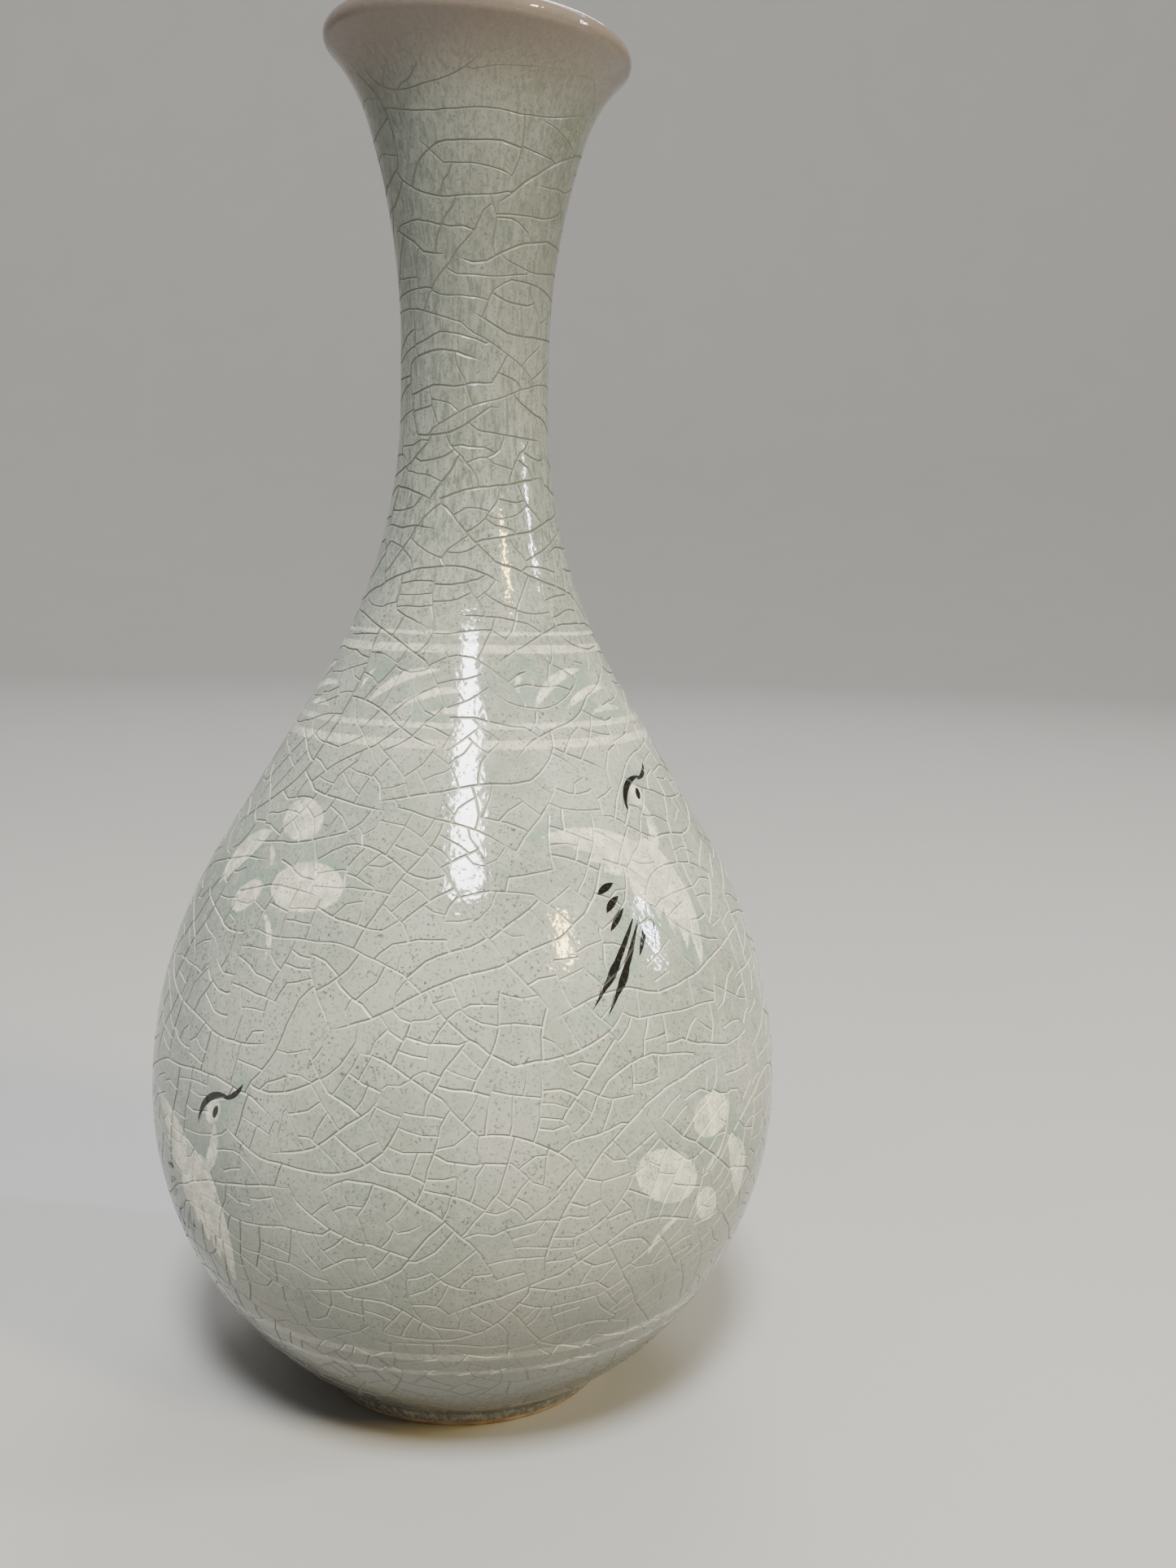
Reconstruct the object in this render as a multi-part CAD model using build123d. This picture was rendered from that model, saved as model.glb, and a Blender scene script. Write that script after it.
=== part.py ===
from build123d import *
from math import acos, asin, atan2, cos, degrees, radians, sin, sqrt, tan
import os

# A crackle-glazed celadon bottle, a bud vase, with slip inlay under the glaze.
# Millimetres and degrees. +Z is up, the origin is the centre of the foot on the table,
# and the front of the vase faces -Y. "Lean" is an angle from upright.

# Driving dimensions of the glazed outside
height = 160.0
belly_radius = 38.0
belly_height = 37.5
low_belly_arc = 41.8
high_belly_arc = 57.0
shoulder_lean = 31.5
neck_base_arc = 63.0
neck_radius = 8.7
flare_arc = 82.0
flare_lean = 18.0
lip_arc = 18.5
lip_lean = 45.0
lip_drop = 0.055            # the lip was left a little out of level: drop per mm towards +X

# Wall, coats and inlay
wall = 3.0                  # clay and both glaze coats together
glaze = 0.4
slip_depth = 0.6
overcut = 1.0               # how far a pocket cutter stands clear of the clay

# Foot and inside floor
foot_radius = 17.8
foot_top_radius = 18.9
foot_inner_radius = 14.2
foot_inner_top_radius = 13.4
foot_edge = 0.5
bare_foot_height = 1.1
recess_height = 2.6
floor_height = 7.0          # top of the liner glaze on the inside floor
floor_corner = 14.0

# Slip lines: name, height of the middle, width
slip_lines = [
    ("neck_upper", 92.5, 0.6),
    ("neck_lower", 90.8, 1.1),
    ("shoulder_upper", 82.6, 0.8),
    ("shoulder_lower", 80.7, 1.1),
    ("base_upper", 16.6, 1.2),
    ("base_lower", 14.0, 0.8),
]

# Places of the drawings: degrees round from the front towards +X, and height
leaf_count = 6
leaf_height = 86.7
leaf_start = -18.0
crane_places = {"upper": (36.0, 66.0, 0.0), "lower": (-56.0, 31.5, -8.0)}
cloud_places = {"upper": (-45.0, 66.0, 0.0), "lower": (42.0, 34.0, -20.0)}
sides = {"front": 0.0, "back": 180.0}
drawing_reach_out = 3.0
drawing_reach_in = 14.0

# Places worked out from the dimensions above
low_centre = (belly_radius - low_belly_arc, belly_height)
high_centre = (belly_radius - high_belly_arc, belly_height)
shoulder_run = (belly_radius - neck_radius
                - (high_belly_arc + neck_base_arc) * (1 - cos(radians(shoulder_lean))))
shoulder_start = belly_height + high_belly_arc * sin(radians(shoulder_lean))
shoulder_end = shoulder_start + shoulder_run / tan(radians(shoulder_lean))
neck_bottom = shoulder_end + neck_base_arc * sin(radians(shoulder_lean))
neck_top = (height - wall / 2 - (lip_arc + wall / 2) * sin(radians(lip_lean))
            - (flare_arc - lip_arc) * sin(radians(flare_lean)))
neck_centre = (neck_radius + neck_base_arc, neck_bottom)
flare_centre = (neck_radius + flare_arc, neck_top)
lip_centre = (flare_centre[0] - (flare_arc - lip_arc) * cos(radians(flare_lean)),
              flare_centre[1] + (flare_arc - lip_arc) * sin(radians(flare_lean)))
bead_centre = (lip_centre[0] - (lip_arc + wall / 2) * cos(radians(lip_lean)),
               lip_centre[1] + (lip_arc + wall / 2) * sin(radians(lip_lean)))
tilt_height = (neck_bottom + neck_top) / 2
corner_centre_height = floor_height + floor_corner
corner_centre = (low_centre[0] + sqrt((low_belly_arc - wall - floor_corner) ** 2
                                      - (belly_height - corner_centre_height) ** 2),
                 corner_centre_height)
corner_angle = degrees(atan2(corner_centre[1] - low_centre[1], corner_centre[0] - low_centre[0]))


def polar(centre, radius, angle):
    """The point at a radius and angle from a centre."""
    return (centre[0] + radius * cos(radians(angle)), centre[1] + radius * sin(radians(angle)))


def low_arc_angle(radius, inset):
    """The angle at which the low belly arc has a given radius from the axis."""
    return -degrees(acos((radius - low_centre[0]) / (low_belly_arc - inset)))


def wall_line(inset, low_angle):
    """The outline of the wall, from low on the belly to the lip, at a depth into the wall."""
    shoulder_from = polar(high_centre, high_belly_arc - inset, shoulder_lean)
    shoulder_to = polar(neck_centre, neck_base_arc + inset, 180 + shoulder_lean)
    return [
        CenterArc(low_centre, low_belly_arc - inset, low_angle, -low_angle),
        CenterArc(high_centre, high_belly_arc - inset, 0, shoulder_lean),
        Line(shoulder_from, shoulder_to),
        CenterArc(neck_centre, neck_base_arc + inset, 180 + shoulder_lean, -shoulder_lean),
        Line((neck_radius - inset, neck_bottom), (neck_radius - inset, neck_top)),
        CenterArc(flare_centre, flare_arc + inset, 180, -flare_lean),
        CenterArc(lip_centre, lip_arc + inset, 180 - flare_lean, flare_lean - lip_lean),
    ]


def turned(lines):
    """The solid that a closed outline makes when it turns round the axis."""
    return revolve(Plane.XZ * make_face(lines), Axis.Z)


def lip_out_of_level(solid):
    """The same solid with everything above the middle of the neck sheared out of level.

    The neck is a plain cylinder there, so the cut doesn't show and the two parts meet exactly.
    """
    sloping = Plane((0, 0, tilt_height), z_dir=(lip_drop, 0, 1))
    shear = Matrix([[1, 0, 0, 0], [0, 1, 0, 0], [-lip_drop, 0, 1, 0], [0, 0, 0, 1]])
    low = split(solid, bisect_by=sloping, keep=Keep.BOTTOM)
    high = split(solid, bisect_by=Plane.XY.offset(tilt_height), keep=Keep.TOP)
    return low + high.solid().transform_geometry(shear)


def clay_blank():
    """The stoneware wall, lip, floor and foot ring, before any inlay pocket is cut."""
    outer_angle = low_arc_angle(foot_top_radius, glaze)
    ring_top = polar(low_centre, low_belly_arc - glaze, outer_angle)
    floor_top = floor_height - glaze
    inner_corner = floor_corner + glaze
    ring_and_recess = Polyline(
        ring_top,
        (foot_radius, foot_edge),
        (foot_radius - foot_edge, 0),
        (foot_inner_radius + foot_edge, 0),
        (foot_inner_radius, foot_edge),
        (foot_inner_top_radius, recess_height),
        (0, recess_height),
        (0, floor_top),
        (corner_centre[0], floor_top),
    )
    lines = wall_line(glaze, outer_angle)
    lines += wall_line(wall - glaze, corner_angle)
    lines.append(CenterArc(bead_centre, wall / 2 - glaze, 180 - lip_lean, -180))
    lines.append(CenterArc(corner_centre, inner_corner, -90, 90 + corner_angle))
    lines.append(ring_and_recess)
    return turned(lines)


def outer_coat():
    """The celadon glaze, from just above the bare foot edge to the crest of the lip."""
    clay_angle = low_arc_angle(foot_top_radius, glaze)
    glass_angle = low_arc_angle(foot_top_radius + glaze, 0)
    clay_corner = polar(low_centre, low_belly_arc - glaze, clay_angle)
    glass_corner = polar(low_centre, low_belly_arc, glass_angle)
    rise = (bare_foot_height - foot_edge) / (clay_corner[1] - foot_edge)
    bare_edge = (foot_radius + rise * (foot_top_radius - foot_radius), bare_foot_height)
    skirt = Polyline(clay_corner, bare_edge, (bare_edge[0] + glaze, bare_foot_height), glass_corner)
    crest = Line((bead_centre[0], bead_centre[1] + wall / 2 - glaze),
                 (bead_centre[0], bead_centre[1] + wall / 2))
    lines = wall_line(0, glass_angle) + wall_line(glaze, clay_angle)
    for radius in (wall / 2, wall / 2 - glaze):
        lines.append(CenterArc(bead_centre, radius, -lip_lean, 90 + lip_lean))
    return turned(lines + [skirt, crest])


def liner_coat():
    """The glaze inside, from the crest of the lip to the floor."""
    lines = []
    for inset in (wall - glaze, wall):
        corner_radius = floor_corner + wall - inset
        lines += wall_line(inset, corner_angle)
        lines.append(CenterArc(bead_centre, inset - wall / 2, 90, 90 - lip_lean))
        lines.append(CenterArc(corner_centre, corner_radius, -90, 90 + corner_angle))
        floor = corner_centre[1] - corner_radius
        lines.append(Line((0, floor), (corner_centre[0], floor)))
    lines.append(Line((0, floor_height - glaze), (0, floor_height)))
    lines.append(Line((bead_centre[0], bead_centre[1] + wall / 2 - glaze),
                      (bead_centre[0], bead_centre[1] + wall / 2)))
    return turned(lines)


def recess_coat():
    """The patch of glaze under the floor, inside the foot ring."""
    rise = (bare_foot_height - foot_edge) / (recess_height - foot_edge)
    edge = foot_inner_radius - rise * (foot_inner_radius - foot_inner_top_radius)
    outline = Polyline(
        (0, recess_height),
        (foot_inner_top_radius, recess_height),
        (edge, bare_foot_height),
        (edge - glaze, bare_foot_height),
        (foot_inner_top_radius - glaze, recess_height - glaze),
        (0, recess_height - glaze),
        close=True,
    )
    return turned(outline)


def wall_layer(inset_from, inset_to):
    """A layer of the wall between two depths, from the foot to the middle of the neck."""
    low_angle = low_arc_angle(foot_top_radius + wall, 0)
    lines = []
    for inset in (inset_from, inset_to):
        lines += wall_line(inset, low_angle)[:5]
    lines.append(Line(polar(low_centre, low_belly_arc - inset_from, low_angle),
                      polar(low_centre, low_belly_arc - inset_to, low_angle)))
    lines.append(Line((neck_radius - inset_from, neck_top), (neck_radius - inset_to, neck_top)))
    return turned(lines)


def glazed_wall(at_height):
    """The radius of the glazed wall at a height, and how far its outward normal points up."""
    if at_height < shoulder_start:
        arc = low_belly_arc if at_height < belly_height else high_belly_arc
        lean = degrees(asin((at_height - belly_height) / arc))
        return belly_radius - arc * (1 - cos(radians(lean))), lean
    if at_height < shoulder_end:
        start_radius = belly_radius - high_belly_arc * (1 - cos(radians(shoulder_lean)))
        return start_radius - (at_height - shoulder_start) * tan(radians(shoulder_lean)), shoulder_lean
    lean = degrees(asin((neck_bottom - at_height) / neck_base_arc))
    return neck_radius + neck_base_arc * (1 - cos(radians(lean))), lean


def drawing_plane(around, at_height):
    """The plane that touches the glaze at a place: x round the vase, y up it, z out."""
    radius, lean = glazed_wall(at_height)
    turn = radians(around)
    out = (cos(radians(lean)) * sin(turn), -cos(radians(lean)) * cos(turn), sin(radians(lean)))
    origin = (radius * sin(turn), -radius * cos(turn), at_height)
    return Plane(origin, x_dir=(cos(turn), sin(turn), 0), z_dir=out)


def brush_stroke(start, middle, end, width):
    """A stroke with pointed ends along an arc, widest at its middle point."""
    tail, belly, tip = Vector(*start), Vector(*middle), Vector(*end)
    side = (tip - tail).rotate(Axis.Z, 90).normalized() * (width / 2)
    return make_face([ThreePointArc(tail, belly + side, tip), ThreePointArc(tip, belly - side, tail)])


def lobe(centre, half_length, half_width, turn):
    """An oval patch, turned anticlockwise."""
    return Pos(*centre) * Rot(0, 0, turn) * Ellipse(half_length, half_width)


def joined(shapes):
    """Flat shapes fused into one drawing."""
    drawing = shapes[0]
    for shape in shapes[1:]:
        drawing = drawing + shape
    return drawing


def crane_black():
    """The black of a flying crane: beak and crown, eye, tail feathers and legs."""
    return joined([
        brush_stroke((9.0, 15.2), (7.9, 13.5), (6.4, 12.8), 0.6),
        brush_stroke((7.4, 13.2), (4.3, 12.0), (3.0, 8.6), 0.8),
        lobe((5.7, 11.0), 0.75, 0.38, 75),
        brush_stroke((-2.6, 0.9), (-3.6, 0.6), (-5.0, -0.1), 0.8),
        brush_stroke((-2.5, -0.6), (-3.4, -1.1), (-4.6, -2.2), 0.8),
        brush_stroke((-2.3, -1.9), (-3.4, -2.9), (-4.8, -4.2), 0.7),
        brush_stroke((-1.2, -2.8), (-4.3, -6.7), (-8.8, -11.6), 0.7),
        brush_stroke((-4.2, -6.8), (-5.7, -8.4), (-6.8, -9.9), 1.0),
        brush_stroke((-0.7, -3.1), (-3.5, -7.5), (-7.3, -12.7), 0.7),
        brush_stroke((-3.4, -7.6), (-4.7, -9.4), (-5.8, -10.9), 0.95),
        brush_stroke((0.1, -3.6), (-0.8, -5.3), (-2.0, -7.4), 0.6),
        brush_stroke((1.2, -3.9), (0.7, -5.1), (0.1, -6.6), 0.55),
    ])


def crane_white():
    """The white of a flying crane: head and neck, body, and two spread wings of feathers."""
    left_wing = [
        brush_stroke((4.8, 3.2), (-1.5, 5.8), (-9.8, 7.3), 2.6),
        brush_stroke((3.8, 2.4), (-1.2, 4.9), (-6.4, 5.4), 2.4),
        brush_stroke((3.4, 1.6), (-0.8, 3.6), (-5.0, 3.8), 2.2),
        brush_stroke((3.2, 1.0), (-0.4, 2.3), (-3.9, 2.4), 2.0),
    ]
    right_wing = [
        brush_stroke((4.6, 5.4), (7.0, -1.6), (6.9, -10.0), 2.6),
        brush_stroke((3.8, 3.4), (5.4, -1.8), (5.2, -7.8), 2.4),
        brush_stroke((3.0, 2.4), (4.0, -1.6), (3.7, -5.9), 2.2),
        brush_stroke((2.2, 1.8), (2.6, -1.2), (2.2, -4.0), 2.0),
    ]
    body = [
        lobe((2.6, 1.7), 4.2, 2.7, 58),
        brush_stroke((3.2, 3.0), (6.1, 6.9), (5.4, 10.4), 1.7),
        lobe((5.3, 10.9), 1.6, 1.15, 60),
    ]
    return joined(body + left_wing + right_wing) - crane_black()


def cloud_drawing():
    """A curling cloud: three round lobes, a long one and a trailing stem."""
    return joined([
        lobe((0.7, 7.4), 3.3, 2.5, -15),
        brush_stroke((-3.2, 5.6), (-6.6, 3.4), (-10.0, -1.6), 3.4),
        lobe((5.2, 0.2), 4.8, 2.9, 8),
        lobe((-2.9, -2.2), 2.6, 1.7, 35),
        brush_stroke((0.6, -3.4), (2.9, -5.6), (3.4, -9.0), 1.0),
        brush_stroke((-3.0, 4.3), (-1.4, 2.7), (-0.5, 0.6), 0.9),
    ])


def leaf_drawing():
    """A spray of leaves between the two upper pairs of lines."""
    return joined([
        brush_stroke((-6.8, -2.4), (-3.0, 1.0), (2.6, 2.3), 1.4),
        brush_stroke((-3.6, -3.2), (1.2, -0.6), (7.0, 0.4), 1.2),
        brush_stroke((0.4, -3.6), (3.8, -2.5), (7.6, -2.6), 1.0),
        brush_stroke((-7.6, 0.0), (-7.0, 1.8), (-5.4, 3.2), 0.8),
    ])


def raised_through(drawing, around, at_height, turn):
    """A drawing pushed through the wall, square to the glaze at its own centre."""
    plane = drawing_plane(around, at_height).offset(drawing_reach_out)
    return extrude(plane * (Rot(0, 0, turn) * drawing), amount=-drawing_reach_in)


def line_band(at_height, width):
    """A flat slab that picks one slip line out of the wall."""
    return Pos(0, 0, at_height) * Cylinder(belly_radius + drawing_reach_out, width)


def inlay_shapes():
    """Every inlay by name, as the shape that cuts its pocket through the surface."""
    shapes = {f"slip_line_{name}": line_band(middle, width) for name, middle, width in slip_lines}
    for number in range(leaf_count):
        around = leaf_start + number * 360 / leaf_count
        shapes[f"slip_leaves_{number + 1}"] = raised_through(leaf_drawing(), around, leaf_height, 0)
    for side, half_turn in sides.items():
        for row, (around, at_height, turn) in crane_places.items():
            place = (around + half_turn, at_height, turn)
            shapes[f"crane_{side}_{row}_white"] = raised_through(crane_white(), *place)
            shapes[f"crane_{side}_{row}_black"] = raised_through(crane_black(), *place)
        for row, (around, at_height, turn) in cloud_places.items():
            place = (around + half_turn, at_height, turn)
            drawing = cloud_drawing() if row == "upper" else mirror(cloud_drawing(), Plane.YZ)
            shapes[f"cloud_{side}_{row}"] = raised_through(drawing, *place)
    return shapes


def main():
    os.makedirs("parts", exist_ok=True)
    shapes = inlay_shapes()
    slip_layer = wall_layer(glaze, glaze + slip_depth)
    pocket_layer = wall_layer(glaze - overcut, glaze + slip_depth)
    parts = {name: shape & slip_layer for name, shape in shapes.items()}
    pockets = [shape & pocket_layer for shape in shapes.values()]
    clay = clay_blank()
    for pocket in pockets:
        clay = clay - pocket
    parts["stoneware_body"] = lip_out_of_level(clay)
    parts["outer_glaze"] = lip_out_of_level(outer_coat())
    parts["inner_glaze"] = lip_out_of_level(liner_coat())
    parts["foot_recess_glaze"] = recess_coat()
    for name, part in parts.items():
        export_step(part, f"parts/{name}.step")
        print(name, len(part.solids()), "solids", round(part.volume, 2), "mm3")


main()
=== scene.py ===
import bpy
import random
import numpy as np
from math import acos, atan2, cos, degrees, floor, hypot, pi, radians, sin, sqrt, tan
from mathutils import Matrix, Vector, kdtree
from mathutils.geometry import delaunay_2d_cdt


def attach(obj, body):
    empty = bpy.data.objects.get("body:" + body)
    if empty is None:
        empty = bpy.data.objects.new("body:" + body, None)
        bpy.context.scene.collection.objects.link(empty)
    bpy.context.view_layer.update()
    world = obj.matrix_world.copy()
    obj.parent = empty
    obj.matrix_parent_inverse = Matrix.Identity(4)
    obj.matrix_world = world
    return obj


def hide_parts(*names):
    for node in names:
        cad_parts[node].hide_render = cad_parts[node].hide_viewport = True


# A crackle-glazed celadon bud vase. Lengths are in millimetres until a mesh, a light or the
# camera is made. Angles are in degrees in the outline and in the studio. The front faces -Y.
# The glaze is worked out on a flat map, with angles in radians: u is the angle round the vase,
# from the front towards +X, and v climbs the outline so that a small shape keeps its angles.

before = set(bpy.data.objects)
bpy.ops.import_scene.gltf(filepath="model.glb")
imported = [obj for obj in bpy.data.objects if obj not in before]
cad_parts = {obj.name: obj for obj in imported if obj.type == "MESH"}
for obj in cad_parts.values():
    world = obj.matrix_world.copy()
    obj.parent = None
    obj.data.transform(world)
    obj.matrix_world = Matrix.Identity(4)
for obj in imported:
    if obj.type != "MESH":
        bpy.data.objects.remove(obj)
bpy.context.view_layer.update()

metres = 0.001
turn = 2 * pi

# The outline of the glazed outside, as in the CAD model
height = 160.0
belly_radius = 38.0
belly_height = 37.5
low_belly_arc = 41.8
high_belly_arc = 57.0
shoulder_lean = 31.5
neck_base_arc = 63.0
neck_radius = 8.7
flare_arc = 82.0
flare_lean = 18.0
lip_arc = 18.5
lip_lean = 45.0
lip_drop = 0.055
wall = 3.0
glaze = 0.4
foot_top_radius = 18.9
bare_edge_radius = 17.95
bare_foot_height = 1.1
floor_height = 7.0
floor_corner = 14.0

low_centre = (belly_radius - low_belly_arc, belly_height)
high_centre = (belly_radius - high_belly_arc, belly_height)
shoulder_run = (belly_radius - neck_radius
                - (high_belly_arc + neck_base_arc) * (1 - cos(radians(shoulder_lean))))
shoulder_start = belly_height + high_belly_arc * sin(radians(shoulder_lean))
shoulder_end = shoulder_start + shoulder_run / tan(radians(shoulder_lean))
neck_bottom = shoulder_end + neck_base_arc * sin(radians(shoulder_lean))
neck_top = (height - wall / 2 - (lip_arc + wall / 2) * sin(radians(lip_lean))
            - (flare_arc - lip_arc) * sin(radians(flare_lean)))
neck_centre = (neck_radius + neck_base_arc, neck_bottom)
flare_centre = (neck_radius + flare_arc, neck_top)
lip_centre = (flare_centre[0] - (flare_arc - lip_arc) * cos(radians(flare_lean)),
              flare_centre[1] + (flare_arc - lip_arc) * sin(radians(flare_lean)))
bead_centre = (lip_centre[0] - (lip_arc + wall / 2) * cos(radians(lip_lean)),
               lip_centre[1] + (lip_arc + wall / 2) * sin(radians(lip_lean)))

# The crackle
seed = 7
crack_half_width = 0.19
crack_depth = 0.075
crack_top = 155.5
long_cracks = 110           # tries at the long level cracks that come first
long_crack_room = 2.0       # how far from any other crack they start
long_crack_reach = 24.0
long_crack_spread = 0.45    # of their headings off level, in radians
belly_level = 0.3           # how much the shorter cracks of the belly lean to level
neck_level = 1.2            # and those of the neck
level_radius = 16.0         # where the one gives way to the other
crack_reaches = (7.0, 14.0, 25.0, 25.0)
# Rounds of shorter cracks: room on the belly that one needs to start, tries, strength
crack_rounds = ((2.3, 5000, 1.0), (1.6, 12000, 0.95), (1.12, 22000, 0.85))

# The meshes
margin = 0.55               # how far the flat map runs on past a full turn, in radians
outline_grain = 0.05        # spacing of the samples that the outline is kept as
ring_grain = 0.9            # spacing of points along a level line
fine_grain = 0.36           # spacing of points just inside the outline of a drawing
loop_grain = 0.1            # spacing of samples along an outline that distances are taken to
inset_grain = 0.08          # and along a drawing's own outline
black_gap = 0.06            # how far from a black outline a white one ends
plain_gap = 0.5             # how far from every outline the plain points keep
fine_band = (0.12, 0.6)     # and where the fine points lie
under_share = 2.2           # how much coarser the underside of the glaze is
under_gap = 0.9             # how far from the rims its own points keep
under_depth = glaze - 0.01  # a hair less than the coat, so that it never sinks into the clay
cut_angle = 12              # edges between faces that turn by more than this are sharp


# ---------------------------------------------------------------- the outline

def polar(centre, radius, angle):
    """The point at a radius and angle from a centre."""
    return (centre[0] + radius * cos(radians(angle)), centre[1] + radius * sin(radians(angle)))


def arc(centre, radius, start, sweep, facing=1):
    """Samples along an arc, with their outward normals. Facing is -1 on a hollow curve."""
    count = int(abs(radians(sweep)) * radius / outline_grain) + 2
    angles = np.radians(np.linspace(start, start + sweep, count))
    spokes = np.stack([np.cos(angles), np.sin(angles)], 1)
    return np.array(centre) + radius * spokes, facing * spokes


def straight(start, end):
    """Samples along a straight stretch that climbs, with their outward normals."""
    start, end = np.array(start), np.array(end)
    run = end - start
    length = np.hypot(*run)
    shares = np.linspace(0, 1, int(length / outline_grain) + 2)[:, None]
    normal = np.array([run[1], -run[0]]) / length
    return start + shares * run, np.tile(normal, (len(shares), 1))


def wall_stretches(inset, low_angle):
    """The stretches of the wall from low on the belly to the lip, at a depth into the wall."""
    shoulder_from = polar(high_centre, high_belly_arc - inset, shoulder_lean)
    shoulder_to = polar(neck_centre, neck_base_arc + inset, 180 + shoulder_lean)
    return [
        arc(low_centre, low_belly_arc - inset, low_angle, -low_angle),
        arc(high_centre, high_belly_arc - inset, 0, shoulder_lean),
        straight(shoulder_from, shoulder_to),
        arc(neck_centre, neck_base_arc + inset, 180 + shoulder_lean, -shoulder_lean, -1),
        straight((neck_radius - inset, neck_bottom), (neck_radius - inset, neck_top)),
        arc(flare_centre, flare_arc + inset, 180, -flare_lean, -1),
        arc(lip_centre, lip_arc + inset, 180 - flare_lean, flare_lean - lip_lean, -1),
    ]


class Outline:
    """An outline turned round the axis, addressed by how far up the flat map a point is."""

    def __init__(self, stretches):
        points, normals = (np.concatenate(rows) for rows in zip(*stretches))
        steps = np.hypot(*np.diff(points, axis=0).T)
        kept = np.append(True, steps > 1e-9)
        self.points, self.normals = points[kept], normals[kept]
        steps = steps[kept[1:]]
        self.v = np.append(0, np.cumsum(steps * 2 / (self.points[1:, 0] + self.points[:-1, 0])))
        self.top = self.v[-1]

    def radius(self, v):
        return np.interp(v, self.v, self.points[:, 0])

    def height(self, v):
        return np.interp(v, self.v, self.points[:, 1])

    def climb(self, at_height):
        """How far up the map a height is, on the stretches that climb steadily."""
        return float(np.interp(at_height, self.points[:, 1], self.v))

    def place(self, u, v, depth=0.0):
        """Points in space, in metres, at a depth under the surface."""
        r = self.radius(v) - depth * np.interp(v, self.v, self.normals[:, 0])
        z = self.height(v) - depth * np.interp(v, self.v, self.normals[:, 1])
        return level_off(r * np.sin(u), -r * np.cos(u), z)

    def normal(self, u, v):
        """The smooth outward direction at each place."""
        out = np.interp(v, self.v, self.normals[:, 0])
        up = np.interp(v, self.v, self.normals[:, 1])
        return np.stack([out * np.sin(u), -out * np.cos(u), up], 1)


def level_off(x, y, z):
    """Points in metres, with the lip a little out of level, as the CAD model has it."""
    slope = lip_drop * np.clip((z - neck_bottom) / (neck_top - neck_bottom), 0, 1)
    return np.stack([x, y, z - slope * x], 1) * metres


def low_arc_angle(radius, inset):
    """The angle at which the low belly arc has a given radius from the axis."""
    return -degrees(acos((radius - low_centre[0]) / (low_belly_arc - inset)))


glass_angle = low_arc_angle(foot_top_radius + glaze, 0)
glass_corner = polar(low_centre, low_belly_arc, glass_angle)
skirt = straight((bare_edge_radius + glaze, bare_foot_height), glass_corner)
lip_bead = arc(bead_centre, wall / 2, -lip_lean, 90 + lip_lean)
outside = Outline([skirt] + wall_stretches(0, glass_angle) + [lip_bead])
corner_v = outside.climb(glass_corner[1])
crack_bottom_v = corner_v + 0.01
crack_top_v = outside.climb(crack_top)
radius_table = outside.radius(np.linspace(0, outside.top, 2000))


def radius_at(v):
    """The radius at a place up the map, quickly, for the crack growing loop."""
    return radius_table[min(1999, max(0, int(v / outside.top * 1999)))]


def tree_of(spots):
    """A search tree of spots that have two or three numbers each."""
    tree = kdtree.KDTree(len(spots))
    for number, spot in enumerate(spots):
        tree.insert((*spot, 0)[:3], number)
    tree.balance()
    return tree


# ---------------------------------------------------------------- the crackle

def meeting(p, q, a, b):
    """How far along p to q it meets a to b, as a share, or None."""
    across = (q[0] - p[0]) * (b[1] - a[1]) - (q[1] - p[1]) * (b[0] - a[0])
    if abs(across) < 1e-14:
        return None
    share = ((a[0] - p[0]) * (b[1] - a[1]) - (a[1] - p[1]) * (b[0] - a[0])) / across
    other = ((a[0] - p[0]) * (q[1] - p[1]) - (a[1] - p[1]) * (q[0] - p[0])) / across
    if 1e-7 < share <= 1 and 0 <= other <= 1:
        return share
    return None


def beside_stretch(p, a, b):
    """Where along a to b the nearest point to p is, as a share, and how far off p is."""
    run_u, run_v = b[0] - a[0], b[1] - a[1]
    squared = run_u * run_u + run_v * run_v
    share = 0.0
    if squared > 0:
        share = min(1.0, max(0.0, ((p[0] - a[0]) * run_u + (p[1] - a[1]) * run_v) / squared))
    return share, p[0] - a[0] - share * run_u, p[1] - a[1] - share * run_v


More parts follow.
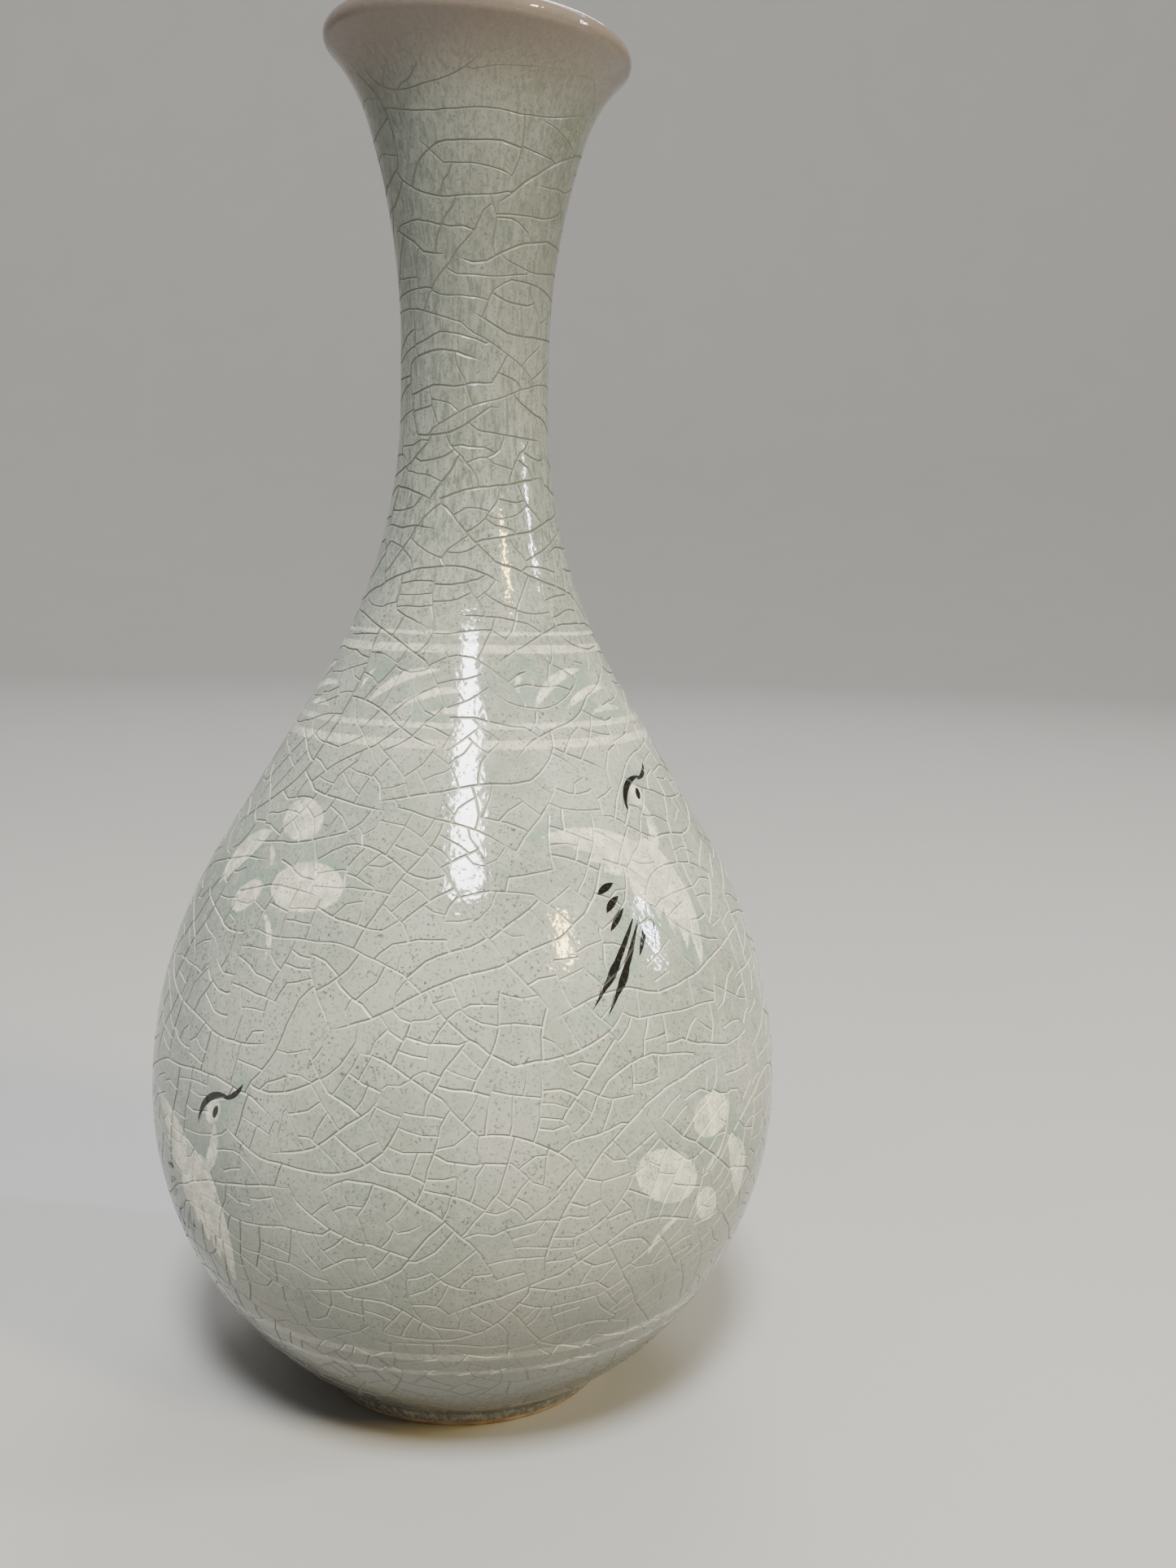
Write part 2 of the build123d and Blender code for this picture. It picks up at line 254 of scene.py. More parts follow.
class Crackle:
    """Cracks that grow one after another, each until it meets one that is there already."""

    columns = 64                # of the squares that the map is sorted into
    square = turn / columns
    step = 1.4                  # in millimetres
    narrow_radius = 14.0        # on the neck, where the steps are shorter
    narrow_share = 0.62
    wander = 0.09               # drift of the heading, in radians for each root of a millimetre
    kink_chance = 0.06          # at each step
    kink = 0.4                  # in radians
    look_ahead = 2.4            # in steps: how soon a crack turns to meet another squarely
    turn_share = 0.45           # of what is missing to square, made up in each step
    headings = 7                # tried at each place
    cell_reach = 9.0            # how far a heading is followed when cells are measured

    def __init__(self, rng):
        self.rng = rng
        self.squares = {}
        self.cracks = []

    def squares_by(self, a, b, room):
        """The keys of the squares within some room of the line from a to b."""
        spans = []
        for axis in (0, 1):
            low, high = min(a[axis], b[axis]) - room, max(a[axis], b[axis]) + room
            spans.append(range(floor(low / self.square), floor(high / self.square) + 1))
        return [(column % self.columns, row) for column in spans[0] for row in spans[1]]

    def remember(self, a, b):
        for key in self.squares_by(a, b, 0):
            self.squares.setdefault(key, []).append((a, b))

    def near(self, a, b, room):
        """The stretches near the line from a to b, moved by whole turns to lie beside it."""
        for key in self.squares_by(a, b, room):
            for start, end in self.squares.get(key, ()):
                shift = round((a[0] - start[0]) / turn) * turn
                yield (start[0] + shift, start[1]), (end[0] + shift, end[1])

    def first_meeting(self, a, b):
        """The nearest stretch that the line from a to b meets, and how far along."""
        best, stretch = 2.0, None
        for start, end in self.near(a, b, 0):
            share = meeting(a, b, start, end)
            if share is not None and share < best:
                best, stretch = share, (start, end)
        return best, stretch

    def room_at(self, p, most):
        """The distance in millimetres from p to the nearest crack, up to a most."""
        radius = radius_at(p[1])
        reach = most / radius
        best = reach
        for start, end in self.near(p, p, reach):
            _, off_u, off_v = beside_stretch(p, start, end)
            best = min(best, hypot(off_u, off_v))
        return best * radius

    def best_heading(self, p, level):
        """A heading through p that splits its cell the short way, with a leaning to level."""
        radius = radius_at(p[1])
        offset = self.rng.random() * pi
        best, chosen = 1e9, 0.0
        for number in range(self.headings):
            heading = offset + number * pi / self.headings
            chord = 0.0
            for way in (heading, heading + pi):
                reach = self.cell_reach / radius
                end = (p[0] + reach * cos(way), p[1] + reach * sin(way))
                chord += min(1.0, self.first_meeting(p, end)[0]) * self.cell_reach
            score = chord * (1 + level * abs(sin(heading))) * self.rng.uniform(0.75, 1.25)
            if score < best:
                best, chosen = score, heading
        return chosen

    def run(self, start, heading, longest, curl):
        """A line of points from a start, and whether it ended on another crack."""
        rng = self.rng
        path, gone, here = [start], 0.0, start
        while gone < longest:
            radius = radius_at(here[1])
            shortened = self.narrow_share if radius < self.narrow_radius else 1.0
            step = self.step * shortened * rng.uniform(0.75, 1.25)
            heading += curl * step + rng.gauss(0, self.wander) * sqrt(step)
            if rng.random() < self.kink_chance:
                heading += rng.gauss(0, self.kink)
            look = self.look_ahead * step / radius
            _, stretch = self.first_meeting(
                here, (here[0] + look * cos(heading), here[1] + look * sin(heading)))
            if stretch:
                along = atan2(stretch[1][1] - stretch[0][1], stretch[1][0] - stretch[0][0])
                miss = (along + pi / 2 - heading + pi / 2) % pi - pi / 2
                heading += self.turn_share * miss
            there = (here[0] + step / radius * cos(heading), here[1] + step / radius * sin(heading))
            share, stretch = self.first_meeting(here, there)
            if stretch:
                there = (here[0] + share * (there[0] - here[0]), here[1] + share * (there[1] - here[1]))
                path.append(there)
                return path, True
            if not crack_bottom_v < there[1] < crack_top_v:
                return path, False
            path.append(there)
            self.remember(here, there)
            here, gone = there, gone + step
        return path, False

    def add(self, place, heading, longest, strength):
        """One crack, grown both ways from a place."""
        rng = self.rng
        curl = rng.gauss(0, 0.05)
        forward, forward_met = self.run(place, heading, longest * rng.uniform(0.4, 1), curl)
        back, back_met = self.run(place, heading + pi, longest * rng.uniform(0.4, 1), -curl)
        path = back[::-1] + forward[1:]
        if len(path) > 2:
            self.remember(back[-2] if back_met else back[-1], back[-1])
            self.remember(forward[-2] if forward_met else forward[-1], forward[-1])
            self.cracks.append((path, back_met, forward_met, strength))


def random_place(rng):
    """A place on the glaze, each square millimetre as likely as another."""
    while True:
        v = rng.uniform(crack_bottom_v, crack_top_v)
        if rng.random() < (radius_at(v) / belly_radius) ** 2:
            return (rng.uniform(-pi, pi), v)


def cell_scale(v):
    """How large the cells are at a height, next to those on the belly."""
    z = float(outside.height(v))
    return float(np.interp(z, (4, 14, 40, 70, 95, 120, 145, 153),
                           (1.1, 0.95, 1, 1.05, 1.1, 1.25, 1.4, 2.4)))


def grow_crackle():
    """Long level cracks first, then shorter ones that split the largest cells that are left."""
    rng = random.Random(seed)
    crackle = Crackle(rng)
    for _ in range(long_cracks):
        place = random_place(rng)
        if crackle.room_at(place, long_crack_room + 1) > long_crack_room:
            crackle.add(place, rng.gauss(0, long_crack_spread), long_crack_reach, 1.0)
    for least_room, tries, strength in crack_rounds:
        for _ in range(tries):
            place = random_place(rng)
            room = least_room * cell_scale(place[1])
            if crackle.room_at(place, room) >= room * 0.999:
                level = belly_level if radius_at(place[1]) > level_radius else neck_level
                heading = crackle.best_heading(place, level)
                longest = rng.choice(crack_reaches)
                crackle.add(place, heading, longest, strength * rng.uniform(0.75, 1.05))
    return crackle.cracks


def crack_strength(path, back_met, forward_met, strength):
    """How deep a crack is at each of its points: it dies away at a free end and near the lip."""
    tail = 2.5
    strengths = []
    for number, (_, v) in enumerate(path):
        from_back = 1.0 if back_met else number / tail
        from_front = 1.0 if forward_met else (len(path) - 1 - number) / tail
        fade = float(np.interp(outside.height(v), (2.5, 6.0, 147.0, crack_top), (0.4, 1.0, 1.0, 0.3)))
        strengths.append(max(0.02, min(1.0, from_back, from_front)) * strength * fade)
    return strengths


def beside(path, strengths, side):
    """The line that runs along one edge of a crack's groove."""
    line = []
    for number, (u, v) in enumerate(path):
        before, after = path[max(0, number - 1)], path[min(len(path) - 1, number + 1)]
        run_u, run_v = after[0] - before[0], after[1] - before[1]
        length = hypot(run_u, run_v)
        out = side * crack_half_width * strengths[number] / radius_at(v)
        line.append((u - out * run_v / length, v + out * run_u / length))
    return line


class Grooves:
    """Finds how deep the crackle is at any place on the map."""

    samples = (1 / 6, 1 / 2, 5 / 6)
    reach = 0.3                 # further than half a gap between the samples of a stretch
    # Flanks on this side get painted shade and flanks on the other painted light, as if lit from the upper
    # left.
    upper = (-0.43, 0.9)        # the direction on the map that counts as the upper left

    def __init__(self, cracks):
        self.stretches = []
        for path, strengths in cracks:
            for shift in (-turn, 0, turn):
                for number in range(len(path) - 1):
                    a, b = path[number], path[number + 1]
                    if abs(a[0] + shift) < pi + margin:
                        self.stretches.append(((a[0] + shift, a[1]), (b[0] + shift, b[1]),
                                               strengths[number], strengths[number + 1]))
        self.tree = tree_of([(a[0] + share * (b[0] - a[0]), a[1] + share * (b[1] - a[1]))
                             for a, b, _, _ in self.stretches for share in self.samples])

    def beside(self, u, v):
        """How far a place is off each stretch near it, and how strong the crack is there."""
        found = self.tree.find_range((u, v, 0), (crack_half_width + self.reach) / radius_at(v))
        for number in {index // len(self.samples) for _, index, _ in found}:
            a, b, strength_a, strength_b = self.stretches[number]
            share, off_u, off_v = beside_stretch((u, v), a, b)
            yield off_u, off_v, strength_a + share * (strength_b - strength_a)

    def depth(self, u, v):
        """The depth in millimetres at a place."""
        radius, best = radius_at(v), 0.0
        for off_u, off_v, strength in self.beside(u, v):
            away = hypot(off_u, off_v) * radius
            best = max(best, crack_depth * strength * (1 - away / (crack_half_width * strength)))
        return best

    def flank(self, u, v):
        """Which flank of a crack a place is on: 1 on the upper left, -1 on the lower right."""
        nearest, answer = crack_half_width / radius_at(v), 0.0
        for off_u, off_v, strength in self.beside(u, v):
            away = hypot(off_u, off_v)
            if 0 < away < nearest:
                nearest = away
                answer = strength * (self.upper[0] * off_u + self.upper[1] * off_v) / away
        return answer

    def room(self, u, v):
        """The distance in millimetres to the nearest sample of a crack."""
        return self.tree.find((u, v, 0))[2] * radius_at(v)


# ---------------------------------------------------------------- the inlays' outlines

outline_tree = tree_of(outside.points)


def on_map(x, y, z):
    """The (u, v) of a point in millimetres near the glaze, and its depth under the surface."""
    r = hypot(x, y)
    _, number, _ = outline_tree.find((r, z, 0))
    from_r, from_z = r - outside.points[number, 0], z - outside.points[number, 1]
    out, up = outside.normals[number]
    along = from_z * out - from_r * up
    return atan2(x, -y), outside.v[number] + along / r, -(from_r * out + from_z * up)


def outer_loops(node):
    """The closed loops round a CAD inlay's outer faces, each a list of (u, v)."""
    face_slack = 0.12
    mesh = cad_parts[node].data
    numbers, spots, kept = {}, [], []
    for vertex in mesh.vertices:
        key = tuple(round(c / metres, 3) for c in vertex.co)
        if key not in numbers:
            numbers[key] = len(spots)
            spots.append(on_map(*key))
        kept.append(numbers[key])
    following = {}
    for face in mesh.polygons:
        corners = [kept[index] for index in face.vertices]
        if all(abs(spots[corner][2] - glaze) < face_slack for corner in corners):
            for a, b in zip(corners, corners[1:] + corners[:1]):
                following.setdefault(a, set()).add(b)
    loops = []
    edge_after = {a: [b for b in ends if a not in following.get(b, ())] for a, ends in following.items()}
    while any(edge_after.values()):
        start = next(a for a, ends in edge_after.items() if ends)
        loop, here = [], start
        while edge_after.get(here):
            there = edge_after[here].pop()
            u, v, _ = spots[here]
            if loop:
                u += round((loop[-1][0] - u) / turn) * turn
            loop.append((u, v))
            here = there
        loops.append(loop)
    return loops


def loop_area(loop):
    """The signed area of a loop on the map."""
    following = loop[1:] + loop[:1]
    return sum(a[0] * b[1] - b[0] * a[1] for a, b in zip(loop, following)) / 2


def inside(points, loop):
    """Which points lie inside a loop, whatever whole turns lie between them."""
    loop = np.array(loop)
    middle = loop[:, 0].mean()
    u = points[:, 0] - np.round((points[:, 0] - middle) / turn) * turn
    v = points[:, 1]
    within = ((u >= loop[:, 0].min()) & (u <= loop[:, 0].max())
              & (v >= loop[:, 1].min()) & (v <= loop[:, 1].max()))
    answer = np.zeros(len(points), bool)
    near_u, near_v = u[within], v[within]
    odd = np.zeros(len(near_u), bool)
    for a, b in zip(loop, np.roll(loop, -1, axis=0)):
        if a[1] != b[1]:
            spans = (a[1] > near_v) != (b[1] > near_v)
            odd ^= spans & (near_u < (b[0] - a[0]) * (near_v - a[1]) / (b[1] - a[1]) + a[0])
    answer[within] = odd
    return answer


class Inlay:
    """One CAD inlay: a ring between two heights on the map, or a drawing of closed loops."""

    def __init__(self, node):
        self.node = node
        self.ring = node.startswith("slip_line")
        loops = outer_loops(node)
        if self.ring:
            climbs = [v for loop in loops for _, v in loop]
            self.low, self.high = min(climbs), max(climbs)
            self.loops = []
        else:
            self.loops = [loop for loop in loops if loop_area(loop) > 0]

    def holds(self, points):
        if self.ring:
            return (points[:, 1] > self.low) & (points[:, 1] < self.high)
        return np.any([inside(points, loop) for loop in self.loops], axis=0)


def read_inlays():
    """Every inlay, the black ones first, because black lies over white."""
    nodes = [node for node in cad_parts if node.startswith(("slip_", "crane_", "cloud_"))]
    return [Inlay(node) for node in sorted(nodes, key=lambda node: ("_black" not in node, node))]


# ---------------------------------------------------------------- the map's triangles

class FlatMap:
    """Points and lines on the flat map, triangulated together and closed round the vase."""

    def __init__(self):
        self.points = []
        self.edges = []

    def chain(self, line):
        first = len(self.points)
        self.points += line
        self.edges += [(first + k, first + k + 1) for k in range(len(line) - 1)]

    def add_line(self, line, closed=False):
        """A line of (u, v), repeated a turn away where it shows in the margins."""
        first, last = min(u for u, _ in line), max(u for u, _ in line)
        home = round((first + last) / 2 / turn) * turn
        for shift in (-turn - home, -home, turn - home):
            if first + shift < pi + margin and last + shift > -pi - margin:
                self.chain([(u + shift, v) for u, v in line])
                if closed:
                    self.edges.append((len(self.points) - 1, len(self.points) - len(line)))

    def add_points(self, spots):
        for u, v in spots:
            for shift in (-turn, 0, turn):
                if -pi - margin < u + shift < pi + margin:
                    self.points.append((u + shift, v))

    def add_ring(self, v):
        """A level line all the way round and through both margins."""
        count = max(24, int(turn * radius_at(v) / ring_grain))
        start = -pi - margin - 0.1
        self.chain([(start + k * turn / count, v) for k in range(int(count * 1.25) + 2)])

    def triangles(self):
        """Points (u, v) and triangles, each once round the vase."""
        found = delaunay_2d_cdt([Vector(point) for point in self.points], self.edges, [], 0, 1e-6, False)
        points = np.array([tuple(point) for point in found[0]])
        faces = np.array(found[2])
        middles = points[faces].mean(1)
        faces = faces[(middles[:, 0] >= -pi) & (middles[:, 0] < pi)]
        points[:, 0] -= np.floor((points[:, 0] + pi) / turn) * turn
        used = np.unique(faces)
        number = np.arange(len(points))
        seam = [index for index in used if pi - abs(points[index, 0]) < margin]
        spots = [(points[index, 0] % turn, points[index, 1], 0) for index in seam]
        tree = tree_of(spots)
        for index, spot in zip(seam, spots):
            number[index] = min(seam[twin] for _, twin, _ in tree.find_range(spot, 2e-6))
        kept, faces = np.unique(number[faces], return_inverse=True)
        points, faces = points[kept], faces.reshape(-1, 3)
        return points, faces[(faces != np.roll(faces, 1, axis=1)).all(1)]


def middle_of(points, faces):
    """The middle of each triangle, with its corners brought within half a turn of each other."""
    corners = points[faces].copy()
    corners[:, :, 0] -= np.round((corners[:, :, 0] - corners[:, :1, 0]) / turn) * turn
    return corners.mean(1)


def grain_at(z):
    """The spacing of the plain points of the glaze at a height, in millimetres."""
    return float(np.interp(z, (1, 4, 6, 140, 150, 156, 158.5, 160),
                           (1.0, 1.3, 2.2, 1.8, 1.1, 0.7, 0.4, 0.4)))


def scatter(rng, low_v, high_v, spacing_at, keep):
    """Jittered rows of points on the map, those that keep() allows."""
    jitter, row_share = 0.22, 0.87
    spots = []
    v = low_v
    while v < high_v:
        spacing = spacing_at(v)
        radius = radius_at(v)
        count = int(turn * radius / spacing)
        start = rng.random()
        for number in range(count):
            u = -pi + turn * (number + start + rng.uniform(-jitter, jitter)) / count
            place = (u, v + rng.uniform(-jitter, jitter) * spacing / radius)
            if keep(*place):
                spots.append(place)
        v += row_share * spacing / radius
    return spots


def nearest_finder(spots):
    """A function that gives the distance in millimetres from a place to the nearest spot."""
    tree = tree_of([(u - round(u / turn) * turn + shift, v) for u, v in spots for shift in (-turn, 0, turn)])
    return lambda u, v: tree.find((u, v, 0))[2] * radius_at(v)


def dense(loop, spacing):
    """A loop with extra points, so that no gap is longer than a spacing in millimetres."""
    spots = []
    for a, b in zip(loop, loop[1:] + loop[:1]):
        count = max(1, int(hypot(b[0] - a[0], b[1] - a[1]) * radius_at(a[1]) / spacing) + 1)
        spots += [(a[0] + (b[0] - a[0]) * k / count, a[1] + (b[1] - a[1]) * k / count)
                  for k in range(count)]
    return spots


def outline_finder(inlays, grain):
    """A function that gives the distance in millimetres to the nearest outline of some drawings."""
    return nearest_finder([spot for inlay in inlays for loop in inlay.loops for spot in dense(loop, grain)])


def away_from(loop, finder, gap):
    """The stretches of a loop that keep a gap from the outlines that a finder knows."""
    clear = [finder(*spot) > gap for spot in loop]
    lines, line = [], []
    for spot, kept in zip(loop + loop[:1], clear + clear[:1]):
        if kept:
            line.append(spot)
        elif line:
            lines.append(line)
            line = []
    return lines + ([line] if line else [])


def glaze_map(cracks, grooves, inlays, outline_gap):
    """The whole outside: cracks, inlay outlines, rings and plain points between them."""
    rng = random.Random(seed + 1)
    flat = FlatMap()
    for path, strengths in cracks:
        flat.add_line(path)
        for side in (-1, 1):
            flat.add_line(beside(path, strengths, side))
    black = outline_finder([inlay for inlay in inlays if "_black" in inlay.node], loop_grain)
    for inlay in inlays:
        for loop in inlay.loops:
            if "_white" in inlay.node:
                for line in away_from(loop, black, black_gap):
                    flat.add_line(line)
            else:
                flat.add_line(loop, closed=True)
        if inlay.ring:
            for v in (inlay.low, (inlay.low + inlay.high) / 2, inlay.high):
                flat.add_ring(v)
    for v in (0.0, corner_v, outside.top):
        flat.add_ring(v)

    def plain(u, v):
        spacing = grain_at(outside.height(v))
        clear = grooves.room(u, v) > crack_half_width + 0.3 * spacing
        return clear and outline_gap(u, v) > plain_gap

    def fine(u, v):
        in_band = fine_band[0] < outline_gap(u, v) < fine_band[1]
        return in_band and grooves.room(u, v) > crack_half_width + 0.1

    border = 0.4 / belly_radius
    top = outside.top - border
    flat.add_points(scatter(rng, border, top, lambda v: grain_at(outside.height(v)), plain))
    climbs = [v for inlay in inlays for loop in inlay.loops for _, v in loop]
    spots = np.array(scatter(rng, min(climbs), max(climbs), lambda v: fine_grain, fine))
    flat.add_points(spots[np.any([inlay.holds(spots) for inlay in inlays if not inlay.ring], axis=0)])
    return flat


# ---------------------------------------------------------------- meshes

def rim_edges(faces):
    """The directed edges that only one of the triangles has."""
    directed = np.concatenate([faces[:, [0, 1]], faces[:, [1, 2]], faces[:, [2, 0]]])
    ordered = np.sort(directed, axis=1)
    _, first, count = np.unique(ordered, axis=0, return_index=True, return_counts=True)
    return directed[first[count == 1]]


def new_object(name, data):
    thing = bpy.data.objects.new(name, data)
    bpy.context.scene.collection.objects.link(thing)
    return thing


def smooth_mesh(name, places, faces):
    mesh = bpy.data.meshes.new(name)
    mesh.from_pydata(places, [], faces)
    mesh.polygons.foreach_set("use_smooth", [True] * len(mesh.polygons))
    return mesh


def mesh_object(name, places, faces, sharp, layers=None):
    """A smooth-shaded object with number layers on its points."""
    mesh = smooth_mesh(name, places.tolist(), faces)
    mesh.set_sharp_from_angle(angle=radians(sharp))
    for layer, values in (layers or {}).items():
        mesh.attributes.new(layer, "FLOAT", "POINT").data.foreach_set("value", values)
    return new_object(name, mesh)


def glassy(piece, points, top_faces, flank):
    """Shades the unbroken glaze as the one smooth surface it is, and the grooves as cut facets."""
    mesh = piece.data
    values = np.append(flank, np.zeros(len(mesh.polygons) - len(flank)))
    mesh.attributes.new("flank", "FLOAT", "FACE").data.foreach_set("value", values)
    flat = np.empty(len(mesh.polygons) * 3)
    mesh.polygons.foreach_get("normal", flat)
    sides = np.empty(len(mesh.polygons), int)
    mesh.polygons.foreach_get("loop_total", sides)
    normals = np.repeat(flat.reshape(-1, 3), sides, axis=0)
    smooth = outside.normal(*points.T)
    whole = np.repeat(flank == 0, 3)
    corners = top_faces.reshape(-1)
    normals[:len(corners)][whole] = smooth[corners][whole]
    mesh.normals_split_custom_set(normals.tolist())


# ---------------------------------------------------------------- the pieces of the outside

def rim_ends(points, rim):
    """The ends of each rim edge, the second moved by whole turns to lie beside the first."""
    for a, b in rim:
        start, end = points[a], points[b].copy()
        end[0] += round((start[0] - end[0]) / turn) * turn
        yield tuple(start), tuple(end)


def covered_by(points, rim, spots):
    """Which spots lie inside the rims: those with an odd number of rim edges below them."""
    order = np.argsort(spots[:, 0])
    u, v = spots[order].T
    odd = np.zeros(len(spots), bool)
    for ends in rim_ends(points, rim):
        (low, low_v), (high, high_v) = sorted(ends)
        for shift in (-turn, 0, turn):
            first, last = np.searchsorted(u, (low + shift, high + shift))
            if last > first:
                level = np.interp(u[first:last] - shift, (low, high), (low_v, high_v))
                odd[first:last] ^= v[first:last] > level
    answer = np.zeros(len(spots), bool)
    answer[order] = odd
    return answer


def underside(points, rim):
    """A coarser map of the glaze's underside, with every point of the top's rims in it."""
    rng = random.Random(seed + 2)
    flat = FlatMap()
    rim_gap = nearest_finder([tuple(points[index]) for index in np.unique(rim)])
    for ends in rim_ends(points, rim):
        flat.add_line(list(ends))
    border = 1.0 / belly_radius
    flat.add_points(scatter(rng, border, outside.top - border,
                            lambda v: under_share * grain_at(outside.height(v)),
                            lambda u, v: rim_gap(u, v) > under_gap))
    under, faces = flat.triangles()
    middles = middle_of(under, faces)
    middles[:, 0] = (middles[:, 0] + pi) % turn - pi
    return under, faces[covered_by(points, rim, middles)]


def twins(rim_points, under):
    """For each rim point of the top, the number of the same point of the underside."""
    tree = tree_of([(cos(u), sin(u), v) for u, v in under])
    return [tree.find((cos(u), sin(u), v))[1] for u, v in rim_points]


def used_points(points, faces):
    """The numbers of the points that some triangles use, and those triangles renumbered."""
    used, faces = np.unique(faces, return_inverse=True)
    return used, faces.reshape(-1, 3)


def closed_piece(name, top, under, pair, depth, layers, flank):
    """A piece between two maps, each (points, triangles): pair gives the under point of a rim point."""
    points, faces = top
    under_points, under_faces = under
    first = len(points)
    walls = [(b, a, pair[a] + first, pair[b] + first) for a, b in rim_edges(faces).tolist()]
    places = np.concatenate([outside.place(*points.T, depth),
                             outside.place(*under_points.T, under_depth)])
    every = faces.tolist() + (under_faces[:, ::-1] + first).tolist() + walls
    piece = mesh_object(name, places, every, cut_angle, layers)
    glassy(piece, points, faces, flank)
    return piece


def glaze_piece(points, faces, layers, depth, flank):
    """The outer glaze as a closed coat, with a window for every inlay."""
    used, faces = used_points(points, faces)
    points = points[used]
    rim = rim_edges(faces)
    under, under_faces = underside(points, rim)
    rim_numbers = np.unique(rim)
    pair = dict(zip(rim_numbers.tolist(), twins(points[rim_numbers], under)))
    layers = {layer: np.append(values[used], np.zeros(len(under))) for layer, values in layers.items()}
    return closed_piece("celadon_glaze_coat", (points, faces), (under, under_faces), pair,
                        depth[used], layers, flank)


def inlay_piece(inlay, points, faces, layers, depth, flank):
    """One inlay as a thin closed piece that fills its window in the glaze."""
    used, faces = used_points(points, faces)
    points = points[used]
    if inlay.ring:
        gap = np.minimum(abs(points[:, 1] - inlay.low), abs(inlay.high - points[:, 1]))
        gap *= outside.radius(points[:, 1])
    else:
        finder = outline_finder([inlay], inset_grain)
        gap = np.array([finder(u, v) for u, v in points])
    layers = {layer: np.tile(values[used], 2) for layer, values in layers.items()}
    layers["inset"] = np.tile(gap, 2)
    flat = (points, faces)
    return closed_piece("inlaid_" + inlay.node.removeprefix("slip_"), flat, flat, range(len(points)),
                        depth[used], layers, flank)


def join_lone(faces, owner):
    """Gives a lone triangle, cut off on every side from its own piece, to an inlay beside it."""
    beside = {}
    for number, (a, b, c) in enumerate(faces.tolist()):
        for side in ((a, b), (b, c), (c, a)):
            beside.setdefault(frozenset(side), []).append(number)
    pairs = [pair for pair in beside.values() if len(pair) == 2]
    lone = np.ones(len(faces), bool)
    for pair in pairs:
        lone[pair] &= owner[pair[0]] != owner[pair[1]]
    for pair in pairs:
        for number, other in (pair, pair[::-1]):
            if lone[number]:
                owner[number] = max(owner[number], owner[other])


def build_outside():
    """The glaze and every inlay that shows through it: {CAD node: piece}."""
    inlays = read_inlays()
    cracks = [(crack[0], crack_strength(*crack)) for crack in grow_crackle()]
    grooves = Grooves(cracks)
    outline_gap = outline_finder(inlays, loop_grain)
    points, faces = glaze_map(cracks, grooves, inlays, outline_gap).triangles()
    middles = middle_of(points, faces)
    owner = np.full(len(faces), -1)
    for number, inlay in enumerate(inlays):
        owner[(owner < 0) & inlay.holds(middles)] = number
    join_lone(faces, owner)
    depth = np.array([grooves.depth(u, v) for u, v in points])
    gap = np.array([outline_gap(u, v) for u, v in points])
    layers = {"crack": depth / crack_depth, "gap": np.minimum(gap, 6.0)}
    flank = np.zeros(len(faces))
    for number in np.flatnonzero(depth[faces].max(1) > 0):
        flank[number] = grooves.flank(*middles[number])
    coat = owner < 0
    pieces = {"outer_glaze": glaze_piece(points, faces[coat], layers, depth, flank[coat])}
    for number, inlay in enumerate(inlays):
        own = owner == number
        pieces[inlay.node] = inlay_piece(inlay, points, faces[own], layers, depth, flank[own])
    return pieces


# ---------------------------------------------------------------- the inside

def inside_profile():
    """The liner's cross-section as a closed run of (r, z): floor, wall, lip crest and back."""
    corner_z = floor_height + floor_corner
    corner_r = low_centre[0] + sqrt((low_belly_arc - wall - floor_corner) ** 2
                                    - (belly_height - corner_z) ** 2)
    corner_angle = degrees(atan2(corner_z - low_centre[1], corner_r - low_centre[0]))
    runs = []
    for inset in (wall, wall - glaze):
        radius = floor_corner + wall - inset
        stretches = [arc((corner_r, corner_z), radius, -90, 90 + corner_angle)]
        stretches += wall_stretches(inset, corner_angle)
        stretches.append(arc(bead_centre, inset - wall / 2, 180 - lip_lean, lip_lean - 90))
        run = [samples[:-1] for samples, _ in stretches] + [stretches[-1][0][-1:]]
        runs.append(np.concatenate(run))
    return runs


def thinned(run, bend, longest):
    """Fewer points along a run: one wherever it has turned or gone far enough."""
    kept, heading, gone = [0], None, 0.0
    for number in range(1, len(run) - 1):
        step = run[number + 1] - run[number]
        now = atan2(step[1], step[0])
        heading = now if heading is None else heading
        gone += float(np.hypot(*step))
        if abs(now - heading) > radians(bend) or gone > longest:
            kept.append(number)
            heading, gone = now, 0.0
    return run[kept + [len(run) - 1]]


def turned_piece(name, run, around, sharp):
    """A closed run of (r, z), from the axis back to the axis, turned round it."""
    places, rings, faces = [], [], []
    for r, z in run:
        if r < 1e-6:
            rings.append([len(places)] * around)
            places.append((0.0, 0.0, z))
        else:
            rings.append(list(range(len(places), len(places) + around)))
            places += [(r * sin(turn * k / around), -r * cos(turn * k / around), z) for k in range(around)]
    for low, high in zip(rings, rings[1:]):
        for k in range(around):
            corners = [low[k], low[(k + 1) % around], high[(k + 1) % around], high[k]]
            face = list(dict.fromkeys(corners))
            if len(face) > 2:
                faces.append(face)
    return mesh_object(name, level_off(*np.array(places).T), faces, sharp)


def build_inside():
    """The liner glaze, from the inside floor to the crest of the lip."""
    inner, outer = inside_profile()
    inner, outer = thinned(inner, 3.0, 4.0), thinned(outer, 6.0, 8.0)
    axis_low, axis_high = (0.0, floor_height - glaze), (0.0, floor_height)
    run = np.concatenate([[axis_low], outer, inner[::-1], [axis_high]])
    return turned_piece("liner_glaze_coat", run, 160, 40)


# ---------------------------------------------------------------- materials

